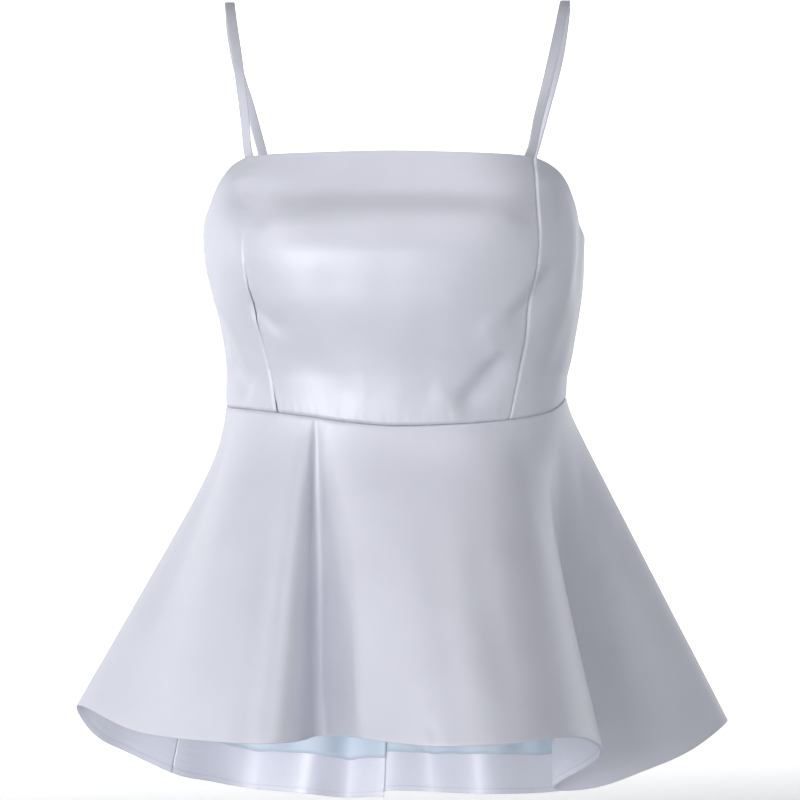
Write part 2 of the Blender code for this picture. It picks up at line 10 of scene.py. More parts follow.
import bpy
import numpy as np
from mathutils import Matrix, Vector


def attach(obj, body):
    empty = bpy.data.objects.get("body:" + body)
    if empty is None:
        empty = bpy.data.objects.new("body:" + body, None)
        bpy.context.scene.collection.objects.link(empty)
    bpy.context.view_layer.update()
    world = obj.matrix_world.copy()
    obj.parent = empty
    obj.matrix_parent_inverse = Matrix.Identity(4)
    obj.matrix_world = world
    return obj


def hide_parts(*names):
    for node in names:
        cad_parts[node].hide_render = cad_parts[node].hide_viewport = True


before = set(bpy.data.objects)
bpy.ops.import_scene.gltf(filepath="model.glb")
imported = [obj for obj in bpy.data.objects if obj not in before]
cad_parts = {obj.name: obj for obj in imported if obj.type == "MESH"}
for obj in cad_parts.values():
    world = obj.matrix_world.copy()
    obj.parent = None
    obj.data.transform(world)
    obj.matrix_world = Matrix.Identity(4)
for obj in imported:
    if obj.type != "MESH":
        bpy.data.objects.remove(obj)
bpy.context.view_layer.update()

bl_info = {
    "name": "Peplum Top",
    "version": (1, 0, 0),
    "blender": (4, 5, 0),
    "location": "3D View > Sidebar > Peplum Top",
    "description": "Builds the cloth, stitches and stage of a strappy satin peplum top",
    "category": "Object",
}

MM = 0.001

# Depth inside the satin's outer face of the layer behind it, and where the seams and hem lie
HEM_FOLD = 1.7 * MM
FACING_DEPTH = 41 * MM
FACING_IN = 1.75 * MM
LINING_IN = 3.6 * MM
LINING_OVER_FACING = 5 * MM
SEAM_SPLIT = 0.05 * MM
SIDE_SEAM_BEARING = 104.0
BACK_SQUARENESS = 2.3
HEM_STEP = 5 * MM
HEM_STEP_FADE = 60 * MM
STRAP_IN = 3.2 * MM
GIRTH_PER_DEGREE = 2.4
PEPLUM_LENGTH = 260

Section = namedtuple("Section", "height left right front_depth back_depth squareness")
SECTIONS = (
    Section(-350, 136, 137.5, 97, 90, 2.4),
    Section(-322, 134.8, 137, 97, 90, 2.4),
    Section(-302, 133.6, 137.5, 99, 91, 2.4),
    Section(-288, 134.2, 140, 102, 92, 2.45),
    Section(-274, 136.6, 142.3, 106, 93, 2.5),
    Section(-237, 145.5, 148.3, 116, 96, 2.7),
    Section(-207, 151, 151, 119, 98, 2.8),
    Section(-187, 152.4, 151.8, 115, 98, 2.8),
    Section(-150, 148, 148, 100, 94, 2.7),
    Section(-124, 140, 140, 88, 90, 2.6),
    Section(-105, 132, 132, 82, 84, 2.6),
)

EdgePoint = namedtuple("EdgePoint", "bearing height")
TOP_EDGE = (
    EdgePoint(-180, -184),
    EdgePoint(-130, -184.5),
    EdgePoint(-104, -189),
    EdgePoint(-90, -188.5),
    EdgePoint(-81, -183),
    EdgePoint(-75, -174),
    EdgePoint(-71, -163),
    EdgePoint(-69.4, -153),
    EdgePoint(-67.4, -143.5),
    EdgePoint(-65, -134.5),
    EdgePoint(-62.5, -130.7),
    EdgePoint(-59, -127.8),
    EdgePoint(-40, -125.8),
    EdgePoint(0, -124.4),
    EdgePoint(40, -126.0),
    EdgePoint(58, -128.4),
    EdgePoint(62.5, -131.5),
    EdgePoint(65.4, -135.3),
    EdgePoint(67.9, -140.6),
    EdgePoint(70.2, -150),
    EdgePoint(71.6, -160),
    EdgePoint(74, -170),
    EdgePoint(78, -181),
    EdgePoint(83, -188),
    EdgePoint(93, -190),
    EdgePoint(104, -189),
    EdgePoint(130, -184.5),
    EdgePoint(180, -184),
)
WAIST_SEAM = (
    EdgePoint(-180, -316),
    EdgePoint(-120, -318.5),
    EdgePoint(-96, -322.5),
    EdgePoint(-60, -326.2),
    EdgePoint(-38, -330.7),
    EdgePoint(-20, -335.6),
    EdgePoint(5, -338.7),
    EdgePoint(34, -336.8),
    EdgePoint(51, -333.8),
    EdgePoint(69, -327.6),
    EdgePoint(78, -321.8),
    EdgePoint(88, -316.8),
    EdgePoint(120, -315),
    EdgePoint(180, -316),
)

SeamPoint = namedtuple("SeamPoint", "height left right")
PRINCESS_SEAMS = (
    SeamPoint(-355, 82, 90),
    SeamPoint(-330, 86.8, 94.4),
    SeamPoint(-303, 92.6, 100.2),
    SeamPoint(-272, 99.8, 106.7),
    SeamPoint(-243, 106.8, 112),
    SeamPoint(-215, 112.1, 115.9),
    SeamPoint(-195, 114.8, 117.2),
    SeamPoint(-163, 116.2, 115.8),
    SeamPoint(-131, 114.2, 112.2),
    SeamPoint(-105, 111, 109),
)

# The peplum's ridges, valleys and turns, from centre back round by the left side and the front.
# x, y and z are where the hem lies; the cloth there hangs from the waist seam at waist_bearing.
# drop is the share of its height over which it hangs straight before it flares.
Fold = namedtuple("Fold", "name waist_bearing x y z drop")
FOLDS = (
    Fold("centre_back", -180, -18, 168, -649, 0.02),
    Fold("back_left_ridge", -170, -52, 181, -653.5, 0.02),
    Fold("back_left_valley", -157, -83, 150, -648.5, 0.05),
    Fold("back_left_cone", -140, -130, 174, -648, 0.02),
    Fold("back_left_turn", -124, -165, 140, -638.5, 0.02),
    Fold("left_side_seam", -105, -188, 92, -628, 0.03),
    Fold("left_back_lift", -97, -226, 46, -604, 0.06),
    Fold("left_back_tip", -91, -245, 14, -588, 0.10),
    Fold("left_tip", -86, -255, -12, -566, 0.12),
    Fold("left_cone_side", -75, -219, -70, -571, 0.10),
    Fold("left_cone", -62, -172, -130, -577.5, 0.05),
    Fold("left_cone_front", -49, -128, -175, -577, 0.03),
    Fold("front_left_ridge", -39.5, -87, -199, -576, 0.03),
    Fold("front_left_turn", -35, -64, -187, -575.6, 0.05),
    Fold("front_valley", -30, -48, -151, -574.3, 0.08),
    Fold("front_rise", -24, -25, -180, -572.3, 0.06),
    Fold("front_cone_left", -10, 12, -214, -574, 0.04),
    Fold("front_cone", 10, 54, -231, -574.3, 0.03),
    Fold("front_cone_right", 30, 93, -226, -572.8, 0.03),
    Fold("front_fold_shoulder", 43, 127, -205, -570.5, 0.03),
    Fold("front_fold_lip", 49, 149, -177, -572.5, 0.03),
    Fold("front_fold_tip", 55, 165.5, -126, -585, 0.03),
    Fold("fold_return", 64, 152, -62, -607, 0.04),
    Fold("right_valley", 74, 130, -14, -629, 0.04),
    Fold("right_cone_start", 79, 158, 1, -629, 0.02),
    Fold("right_cone", 86, 197, 11, -617, 0.0),
    Fold("right_front_tip", 92, 238, 26, -600, 0.0),
    Fold("right_tip", 98, 267.5, 58, -580, 0.0),
    Fold("right_side_seam", 105, 254, 104, -592, 0.02),
    Fold("right_back_slope", 118, 207, 152, -622, 0.02),
    Fold("back_right_cone", 134, 147, 189, -647.5, 0.02),
    Fold("back_right_turn", 148, 94, 164, -650.5, 0.03),
    Fold("back_right_valley", 158, 62, 148, -649, 0.05),
    Fold("back_right_ridge", 170, 21, 182, -651, 0.02),
)

# A strap's centre line from its front end, over the shoulder, to its back end. Where y is None it lies
# against the inside of the bodice, ahead or behind.
PathPoint = namedtuple("PathPoint", "place left right y z")
STRAP_PATH = (
    PathPoint("front", -111.0, 108.0, None, -139),
    PathPoint("front", -112.0, 109.3, None, -130),
    PathPoint("chest", -112.7, 110.4, -60.0, -123),
    PathPoint("chest", -115.4, 114.9, -53, -100),
    PathPoint("chest", -120.0, 122.0, -40, -70),
    PathPoint("chest", -124.4, 127.2, -26, -45),
    PathPoint("shoulder", -129.9, 132.2, -6, -19),
    PathPoint("shoulder", -133.7, 135.0, 14, -2.5),
    PathPoint("shoulder", -135.7, 135.8, 29, 2.4),
    PathPoint("shoulder", -137.0, 136.0, 42, -0.5),
    PathPoint("shoulder", -137.0, 134.5, 54, -14),
    PathPoint("shoulder_blade", -133.9, 130.2, 65, -40),
    PathPoint("shoulder_blade", -123.0, 119.5, 75, -80),
    PathPoint("shoulder_blade", -112.3, 108.5, 79, -120),
    PathPoint("shoulder_blade", -102.0, 98.0, 79.5, -158),
    PathPoint("back", -95.6, 91.6, None, -183),
    PathPoint("back", -93.0, 89.0, None, -196),
)

# Soft folds pressed into the cloth. Each runs from one place to another and is depth deep, inward if
# negative; left and right are its half widths to each side, and bow is how far its middle bends right.
Crease = namedtuple("Crease", "name start_bearing start_height end_bearing end_height depth left right bow")
BODICE_CREASES = (
    Crease("upper_bust_hollow", -50, -156, 50, -158, -3.8, 17, 24, 3),
    Crease("left_bust_corner", -58, -150, -44, -185, -1.5, 9, 14, 0),
    Crease("right_bust_corner", 59, -150, 46, -185, -1.2, 12, 9, 0),
    Crease("right_seam_hollow_high", 58, -216, 45, -260, -4.6, 9, 16, 2),
    Crease("right_seam_hollow_low", 46, -286, 31, -326, -4.4, 9, 15, 1),
    Crease("right_seam_ridge", 36, -258, 44, -288, 1.8, 8, 10, 0),
    Crease("waist_drag_right", 40, -330, 20, -312, 1.1, 8, 12, 0),
    Crease("left_seam_drag", -52, -240, -40, -268, -2.4, 7, 10, 0),
    Crease("left_waist_hollow", -40, -285, -16, -322, -1.4, 16, 20, 4),
    Crease("centre_soft_low", 2, -250, 8, -325, 0.9, 22, 26, 0),
    Crease("centre_soft_left", -22, -215, -16, -290, -0.8, 18, 22, 0),
    Crease("left_side_streak", -88, -205, -74, -290, -3.6, 9, 10, -2),
    Crease("left_side_hollow", -74, -288, -60, -312, -4.6, 11, 9, 0),
    Crease("left_side_ridge", -70, -230, -58, -300, 2.0, 8, 8, 0),
    Crease("left_side_waist", -92, -270, -84, -318, 1.2, 9, 12, 0),
    Crease("right_side_hollow", 77, -165, 74, -235, -2.2, 12, 10, 0),
    Crease("right_side_ridge", 68, -170, 66, -250, 1.2, 7, 9, 0),
    Crease("right_side_low", 74, -255, 66, -318, -1.5, 11, 9, 0),
    Crease("right_side_back", 92, -210, 88, -300, 1.2, 10, 12, 0),
    Crease("back_drag_left", -150, -200, -118, -262, -1.6, 10, 13, 4),
    Crease("back_drag_left_low", -168, -300, -128, -282, 1.3, 9, 11, 0),
    Crease("back_drag_right", 148, -204, 120, -258, -1.5, 12, 10, -4),
    Crease("back_drag_right_low", 166, -296, 130, -286, 1.2, 10, 9, 0),
)

# The same on the peplum: start and end name a fold, with a shift along the hem, at shares of the height
Ripple = namedtuple("Ripple", "name fold shift_top top shift_hem hem depth left right")
PEPLUM_RIPPLES = (
    Ripple("valley_pleat", "front_valley", -14, 0.05, -8, 1.0, -5.0, 13, 17),
    Ripple("valley_pucker_one", "front_valley", -10, 0.90, -12, 1.02, -1.0, 3, 4),
    Ripple("valley_pucker_two", "front_valley", 0, 0.88, -1, 1.02, 1.1, 4, 3),
    Ripple("valley_pucker_three", "front_valley", 9, 0.91, 9, 1.02, -0.9, 3, 4),
    Ripple("rise_light", "front_rise", 20, 0.45, 14, 1.0, 1.6, 9, 13),
    Ripple("rise_pucker", "front_rise", 22, 0.88, 24, 1.02, -1.0, 4, 5),
    Ripple("cone_left_soft", "front_cone_left", 10, 0.3, 0, 0.95, -1.2, 26, 22),
    Ripple("cone_pucker", "front_cone_left", 32, 0.93, 34, 1.02, -0.6, 4, 5),
    Ripple("cone_middle", "front_cone", 20, 0.2, 12, 0.9, 1.2, 30, 26),
    Ripple("cone_right_soft", "front_cone_right", 0, 0.35, 10, 1.0, -1.0, 18, 16),
    Ripple("left_cone_soft", "left_cone", 0, 0.25, 10, 0.95, 1.5, 30, 34),
    Ripple("left_cone_hollow", "left_cone_side", 10, 0.05, 0, 0.7, -1.6, 22, 20),
    Ripple("right_cone_soft", "right_cone", 0, 0.2, 8, 1.0, -1.4, 18, 22),
    Ripple("right_tip_soft", "right_front_tip", 0, 0.3, 0, 1.0, 1.2, 16, 14),
    Ripple("back_left_soft", "back_left_cone", 0, 0.2, 8, 1.0, 1.4, 20, 22),
    Ripple("back_left_hollow", "back_left_ridge", 12, 0.3, 10, 0.9, -1.1, 16, 14),
    Ripple("back_right_soft", "back_right_cone", 0, 0.2, -8, 1.0, 1.3, 20, 18),
    Ripple("back_right_hollow", "back_right_turn", 0, 0.3, -6, 0.9, -1.2, 15, 16),
)


class TopSettings(bpy.types.PropertyGroup):
    """Sizes and colours of the top's cloth."""

    satin_colour: bpy.props.FloatVectorProperty(
        name="Satin colour",
        description="Colour of the outer cloth",
        subtype="COLOR",
        size=3,
        min=0,
        max=1,
        default=(0.68, 0.686, 0.764),
    )
    lining_colour: bpy.props.FloatVectorProperty(
        name="Lining colour",
        description="Colour of the lining inside the back",
        subtype="COLOR",
        size=3,
        min=0,
        max=1,
        default=(0.60, 0.69, 0.80),
    )
    satin_roughness: bpy.props.FloatProperty(
        name="Satin roughness",
        description="How broad the cloth's highlights are",
        min=0,
        max=1,
        default=0.48,
    )
    bodice_thickness: bpy.props.FloatProperty(
        name="Bodice thickness",
        description="Thickness of the bodice's cloth with its backing",
        unit="LENGTH",
        default=1.2 * MM,
    )
    cloth_thickness: bpy.props.FloatProperty(
        name="Cloth thickness",
        description="Thickness of one layer of satin",
        unit="LENGTH",
        default=0.5 * MM,
    )
    crease_strength: bpy.props.FloatProperty(
        name="Crease strength",
        description="Depth of the creases as a share of their usual depth",
        min=0,
        max=3,
        default=1.0,
    )
    strap_width: bpy.props.FloatProperty(
        name="Strap width",
        description="Width of each shoulder strap",
        unit="LENGTH",
        default=8.0 * MM,
    )
    strap_thickness: bpy.props.FloatProperty(
        name="Strap thickness",
        description="Thickness of each shoulder strap",
        unit="LENGTH",
        default=1.5 * MM,
    )
    stitch_pitch: bpy.props.FloatProperty(
        name="Stitch pitch",
        description="Distance from one stitch to the next",
        unit="LENGTH",
        default=2.3 * MM,
    )


def column(table, name):
    return np.array([getattr(row, name) for row in table], float)


def smooth(knots, values, at):
    """A smooth curve through the points that never overshoots them: cubic pieces with limited slopes."""
    step = np.diff(knots)
    slope = np.diff(values) / step
    same_way = slope[:-1] * slope[1:] > 0
    before, after = 2 * step[1:] + step[:-1], step[1:] + 2 * step[:-1]
    slope_before = np.where(same_way, slope[:-1], 1.0)
    slope_after = np.where(same_way, slope[1:], 1.0)
    mean = (before + after) / (before / slope_before + after / slope_after)
    tangent = np.concatenate([slope[:1], np.where(same_way, mean, 0.0), slope[-1:]])
    at = np.clip(at, knots[0], knots[-1])
    i = np.clip(np.searchsorted(knots, at, side="right") - 1, 0, len(step) - 1)
    t = (at - knots[i]) / step[i]
    rise = (3 - 2 * t) * t * t * (values[i + 1] - values[i])
    lean = t * (1 - t) * ((1 - t) * tangent[i] - t * tangent[i + 1]) * step[i]
    return values[i] + rise + lean


def ring_slopes(knots, values):
    """Slopes at the knots of the closed cubic curve through the values, whose bending is continuous.
    The last knot is the first again."""
    count = len(knots) - 1
    step = np.diff(knots)
    rise = np.diff(values, axis=0) / step[:, None]
    matrix = np.zeros((count, count))
    right = np.zeros((count, values.shape[1]))
    for i in range(count):
        matrix[i, i - 1] += step[i]
        matrix[i, i] += 2 * (step[i - 1] + step[i])
        matrix[i, (i + 1) % count] += step[i - 1]
        right[i] = 3 * (step[i] * rise[i - 1] + step[i - 1] * rise[i])
    slopes = np.linalg.solve(matrix, right)
    return np.concatenate([slopes, slopes[:1]])


def unit(vectors):
    return vectors / np.linalg.norm(vectors, axis=-1, keepdims=True)


def walked(points, axis=0):
    """Distance walked along the rows or the columns of a grid of points."""
    steps = np.linalg.norm(np.diff(points, axis=axis), axis=-1)
    start = np.zeros_like(np.take(steps, [0], axis=axis))
    return np.cumsum(np.concatenate([start, steps], axis=axis), axis=axis)


def body_radius(bearing, height):
    """Distance from the body's axis to the cloth's outer face: a rounded-square oval at each height."""
    across, ahead = np.sin(np.radians(bearing)), np.cos(np.radians(bearing))
    heights = column(SECTIONS, "height")

    def size(name):
        return smooth(heights, column(SECTIONS, name), height / MM)

    width = np.where(across < 0, size("left"), size("right"))
    depth = np.where(ahead > 0, size("front_depth"), size("back_depth"))
    power = np.where(ahead > 0, size("squareness"), BACK_SQUARENESS)
    return MM * ((np.abs(across) / width) ** power + (np.abs(ahead) / depth) ** power) ** (-1 / power)


def on_body(bearing, height):
    """The point of the cloth's outer face at that bearing and height."""
    radius = body_radius(bearing, height)
    across, ahead = np.sin(np.radians(bearing)), np.cos(np.radians(bearing))
    return np.stack([radius * across, -radius * ahead, height + 0 * radius], -1)


def body_normal(bearing, height):
    """Outward normal of the body, from points a hair apart."""
    beside = on_body(bearing + 0.01, height) - on_body(bearing - 0.01, height)
    below = on_body(bearing, height - 0.01 * MM) - on_body(bearing, height + 0.01 * MM)
    return unit(np.cross(below, beside))


def edge_height(table, bearing):
    return MM * smooth(column(table, "bearing"), column(table, "height"), bearing)


def princess_bearing(side, height):
    """Bearing of a princess seam: where the body's oval is as far across as the seam stands.
    Found by halving the range."""
    name = "left" if side < 0 else "right"
    spread = MM * smooth(column(PRINCESS_SEAMS, "height"), column(PRINCESS_SEAMS, name), height / MM)
    low, high = np.full(height.shape, 20.0), np.full(height.shape, 85.0)
    for _ in range(22):
        middle = (low + high) / 2
        too_wide = np.abs(on_body(side * middle, height)[..., 0]) > spread
        low, high = np.where(too_wide, low, middle), np.where(too_wide, middle, high)
    return side * (low + high) / 2


def bodice_bearings(start, end, share, height):
    """Bearings at shares of the way across a panel. Each of its seams is a bearing or, for a princess
    seam, the name of its side."""
    sides = {"left": -1, "right": 1}
    edges = []
    for seam, inward in ((start, 1), (end, -1)):
        if seam in sides:
            bearing = princess_bearing(sides[seam], height[:, :1])
        else:
            bearing = np.full(height[:, :1].shape, float(seam))
        edges.append(bearing + inward * np.degrees(SEAM_SPLIT / body_radius(bearing, height[:, :1])))
    return edges[0] + (edges[1] - edges[0]) * share


def close_at_ends(count, tightness=0.8):
    """Shares from 0 to 1 that lie closer together towards both ends."""
    share = np.linspace(0, 1, count)
    return share - tightness * np.sin(2 * np.pi * share) / (2 * np.pi)


def bodice_grid(start, end, columns, rows):
    """Bearings and heights of a panel's points between two seams, from the top edge down to the waist."""
    share, down = close_at_ends(columns), close_at_ends(rows)[:, None]
    height = np.full((rows, columns), -0.25)
    for _ in range(8):
        bearing = bodice_bearings(start, end, share, height)
        top = edge_height(TOP_EDGE, bearing)
        bottom = edge_height(WAIST_SEAM, bearing) + SEAM_SPLIT
        height = top + (bottom - top) * down
    return bearing, height


def hem_knots():
    """The folds' points round the hem, back to the first, and how far along each is."""
    points = np.stack([column(FOLDS, axis) for axis in "xyz"], -1)
    points = np.concatenate([points, points[:1]])
    return walked(points), points


KNOTS, KNOT_POINTS = hem_knots()
KNOT_SLOPES = ring_slopes(KNOTS, KNOT_POINTS)
HEM_LENGTH = KNOTS[-1]
FOLD_AT = {fold.name: knot for fold, knot in zip(FOLDS, KNOTS)}


def hem_points(along):
    """Points of the hem that far along it, in metres."""
    i = np.clip(np.searchsorted(KNOTS, along, side="right") - 1, 0, len(KNOTS) - 2)
    step = KNOTS[i + 1] - KNOTS[i]
    t = ((along - KNOTS[i]) / step)[..., None]
    ease = t * t * (3 - 2 * t)
    lean = t * (1 - t) * ((1 - t) * KNOT_SLOPES[i] - t * KNOT_SLOPES[i + 1]) * step[..., None]
    points = MM * (KNOT_POINTS[i] * (1 - ease) + KNOT_POINTS[i + 1] * ease + lean)
    points[..., 2] -= HEM_STEP * np.exp(-along * MM / HEM_STEP_FADE)
    return points


def waist_bearing(along):
    return smooth(KNOTS, np.append(column(FOLDS, "waist_bearing"), 180), along)


def along_at_bearing(bearing):
    """How far along the hem the cloth hangs that is sewn to the waist seam at that bearing."""
    dense = np.linspace(0, HEM_LENGTH, 4000)
    return float(np.interp(bearing, waist_bearing(dense), dense))


def flare(down, drop):
    """Share of the way out to the hem at a share of the height: a ramp that begins softly after drop."""
    soft = 0.03 + 0.35 * drop

    def ramp(value):
        return soft * np.logaddexp(0, (value - drop) / soft)

    return (ramp(down) - ramp(0)) / (ramp(1) - ramp(0))


def on_peplum(along, down):
    """The peplum's outer face that far along the hem, at a share of the height down from the waist
    seam. Each fold line runs from the seam out to the hem, straight but for the drop at its top."""
    bearing = waist_bearing(along)
    waist = on_body(bearing, edge_height(WAIST_SEAM, bearing) - SEAM_SPLIT)
    hem = hem_points(along)
    drop = smooth(KNOTS, np.append(column(FOLDS, "drop"), FOLDS[0].drop), along)
    points = waist + (hem - waist) * flare(down, drop)[..., None]
    points[..., 2] = waist[..., 2] + (hem[..., 2] - waist[..., 2]) * down
    return points


def peplum_normal(along, down):
    """Outward normal of the peplum, from points a hair apart."""
    down = np.clip(down, 0.001, 0.999)
    beside = on_peplum(along + 0.05, down) - on_peplum(along - 0.05, down)
    below = on_peplum(along, down + 0.001) - on_peplum(along, down - 0.001)
    return unit(np.cross(below, beside))


def fold_shares(start, end, count):
    """Shares of the way from start to end for a panel's columns, closer where the hem turns tightly."""
    along = np.linspace(start, end, 2000)
    heading = unit(np.gradient(hem_points(along), axis=0))
    turning = np.linalg.norm(np.gradient(heading, along, axis=0), axis=1)
    weight = 1 + 8 * np.sqrt(turning)
    steps = np.concatenate([[0], np.cumsum((weight[1:] + weight[:-1]) / 2)])
    return np.interp(np.linspace(0, steps[-1], count), steps, np.linspace(0, 1, 2000))


def crease_shape(across, down, start, end, widths, bow=0.0):
    """Share of its full depth that a crease has at each place: a bell across it, wider on one side than
    on the other, that fades out past both ends. Places and widths are in millimetres."""
    start, end = np.array(start, float), np.array(end, float)
    length = np.linalg.norm(end - start)
    heading = (end - start) / length
    away = np.stack([across, down], -1) - start
    share = (away @ heading) / length
    beside = away @ np.array([-heading[1], heading[0]]) - bow * 4 * share * (1 - share)
    width = np.where(beside < 0, widths[0], widths[1])
    past = np.clip((np.abs(2 * share - 1) - 0.45) / 0.8, 0, 1)
    return np.exp(-((beside / width) ** 2)) * (1 - past * past) ** 2


def soft_unevenness(across, down, seed, wavelength, count=14):
    """A gentle unevenness between -1 and 1: the sum of fixed waves in many directions."""
    chance = np.random.default_rng(seed)
    total = 0 * across
    for _ in range(count):
        angle, phase = chance.uniform(0, np.pi), chance.uniform(0, 2 * np.pi)
        size = wavelength * chance.uniform(0.6, 1.8)
        total += np.sin(2 * np.pi * (across * np.cos(angle) + down * np.sin(angle)) / size + phase)
    return total / count


def bodice_relief(bearing, height):
    """How far the bodice's cloth stands out from its plain form, in metres."""
    across, down = bearing * GIRTH_PER_DEGREE, height / MM
    total = 0.35 * soft_unevenness(across, down, seed=4, wavelength=55)
    for row in BODICE_CREASES:
        start = (row.start_bearing * GIRTH_PER_DEGREE, row.start_height)
        end = (row.end_bearing * GIRTH_PER_DEGREE, row.end_height)
        total = total + row.depth * crease_shape(across, down, start, end, (row.left, row.right), row.bow)
    return total * MM * settings().crease_strength


def peplum_relief(along, down):
    """How far the peplum's cloth stands out from its plain form, in metres."""
    total = 0.4 * soft_unevenness(along, down * PEPLUM_LENGTH, seed=9, wavelength=70) * (0.3 + 0.7 * down)
    for row in PEPLUM_RIPPLES:
        start = (FOLD_AT[row.fold] + row.shift_top, row.top * PEPLUM_LENGTH)
        end = (FOLD_AT[row.fold] + row.shift_hem, row.hem * PEPLUM_LENGTH)
        shape = crease_shape(along, down * PEPLUM_LENGTH, start, end, (row.right, row.left))
        total = total + row.depth * shape
    return total * MM * settings().crease_strength


def seam_dip(distance, depth=1.0 * MM, width=1.5 * MM):
    """How far cloth dips towards a seam at that distance from it."""
    return depth * np.exp(-((distance / width) ** 2))


def seam_pucker(distance, along, pitch=9 * MM, depth=0.16 * MM, reach=5 * MM):
    """Small gathers beside a sewn seam, which die out away from it."""
    wave = np.sin(2 * np.pi * along / pitch) + 0.6 * np.sin(2 * np.pi * along / (pitch * 1.7) + 1)
    return depth * wave * np.exp(-distance / reach)


def rounded_edge(distance, radius=0.9 * MM):
    """How far a turned edge is rounded off at that distance from it."""
    inside = np.clip(radius - distance, 0, radius)
    return radius - np.sqrt(radius**2 - inside**2)


def settings():
    return bpy.context.scene.peplum_top


def grid_mesh(name, points, flat):
    """A mesh of a grid of points, with a UV map in metres of cloth. Rows run down and columns rightwards
    as seen from outside, so its faces point out."""
    rows, columns = points.shape[:2]
    index = np.arange(rows * columns).reshape(rows, columns)
    quads = np.stack([index[:-1, :-1], index[1:, :-1], index[1:, 1:], index[:-1, 1:]], -1).reshape(-1, 4)
    mesh = bpy.data.meshes.new(name)
    mesh.from_pydata(points.reshape(-1, 3).tolist(), [], quads.tolist())
    corners = flat.reshape(-1, 2)[quads.reshape(-1)]
    mesh.uv_layers.new(name="UVMap").uv.foreach_set("vector", corners.astype(np.float32).ravel())
    mesh.shade_smooth()
    return mesh


def add_piece(name, mesh, material, slot, *nodes):
    made = bpy.data.objects.new(name, mesh)
    bpy.context.scene.collection.objects.link(made)
    mesh.materials.append(material)
    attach(made, "garment")
    if nodes:
        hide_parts(*nodes)
    return made


def add_cloth(name, points, material, slot, thickness, *nodes):
    """A layer of cloth with its outer face on a grid of points."""
    middle, centre = points.shape[0] // 2, points.shape[1] // 2
    across = np.broadcast_to(walked(points[middle])[None, :], points.shape[:2])
    down = np.broadcast_to(walked(points[:, centre])[:, None], points.shape[:2])
    made = add_piece(name, grid_mesh(name, points, np.stack([across, down], -1)), material, slot, *nodes)
    wall = made.modifiers.new("Thickness", "SOLIDIFY")
    wall.thickness = thickness
    wall.offset = -1
    return made


def cloth_group():
    """Weave and unevenness of cloth, from its own UV map in metres: a shade for its colour, a value to
    add to its roughness, and a height for its bump."""
    name = "Cloth weave"
    if name in bpy.data.node_groups:
        return bpy.data.node_groups[name]
    group = bpy.data.node_groups.new(name, "ShaderNodeTree")
    sockets = group.interface
    thread = sockets.new_socket("Threads per metre", in_out="INPUT", socket_type="NodeSocketFloat")
    thread.default_value = 1600
    float_length = sockets.new_socket("Float length", in_out="INPUT", socket_type="NodeSocketFloat")
    float_length.default_value = 5
    for output in ("Shade", "Roughness", "Height"):
        sockets.new_socket(output, in_out="OUTPUT", socket_type="NodeSocketFloat")
    nodes, links = group.nodes, group.links
    into, out = nodes.new("NodeGroupInput"), nodes.new("NodeGroupOutput")
    uv = nodes.new("ShaderNodeUVMap")
    uv.uv_map = "UVMap"
    split = nodes.new("ShaderNodeSeparateXYZ")
    links.new(uv.outputs["UV"], split.inputs["Vector"])
    long_thread = nodes.new("ShaderNodeMath")
    long_thread.operation = "DIVIDE"
    links.new(split.outputs["Y"], long_thread.inputs[0])
    links.new(into.outputs["Float length"], long_thread.inputs[1])
    joined = nodes.new("ShaderNodeCombineXYZ")
    links.new(split.outputs["X"], joined.inputs["X"])
    links.new(long_thread.outputs[0], joined.inputs["Y"])
    threads = nodes.new("ShaderNodeTexNoise")
    threads.inputs["Detail"].default_value = 2
    links.new(joined.outputs["Vector"], threads.inputs["Vector"])
    links.new(into.outputs["Threads per metre"], threads.inputs["Scale"])
    broad = nodes.new("ShaderNodeTexNoise")
    broad.inputs["Scale"].default_value = 22
    broad.inputs["Detail"].default_value = 3
    links.new(uv.outputs["UV"], broad.inputs["Vector"])
    links.new(threads.outputs["Fac"], out.inputs["Height"])
    both = nodes.new("ShaderNodeMath")
    both.operation = "MULTIPLY_ADD"
    both.inputs[1].default_value = 0.35
    links.new(threads.outputs["Fac"], both.inputs[0])
    links.new(broad.outputs["Fac"], both.inputs[2])
    links.new(both.outputs[0], out.inputs["Shade"])
    links.new(broad.outputs["Fac"], out.inputs["Roughness"])
    return group


def new_material(name, values):
    """A node material with values set on its shader's sockets."""
    made = bpy.data.materials.new(name)
    made.use_nodes = True
    shader = made.node_tree.nodes["Principled BSDF"]
    for socket, value in values.items():
        shader.inputs[socket].default_value = value
    return made, made.node_tree, shader


def mapped(tree, value, start, finish):
    """The value, mapped from one range to another."""
    node = tree.nodes.new("ShaderNodeMapRange")
    for socket, number in zip(("From Min", "From Max", "To Min", "To Max"), (*start, *finish)):
        node.inputs[socket].default_value = number
    tree.links.new(value, node.inputs["Value"])
    return node.outputs["Result"]


def tinted(tree, value, dark, light):
    """A colour between two, by a value."""
    node = tree.nodes.new("ShaderNodeMix")
    node.data_type = "RGBA"
    node.inputs["A"].default_value = (*dark, 1)
    node.inputs["B"].default_value = (*light, 1)
    tree.links.new(value, node.inputs["Factor"])
    return node.outputs["Result"]


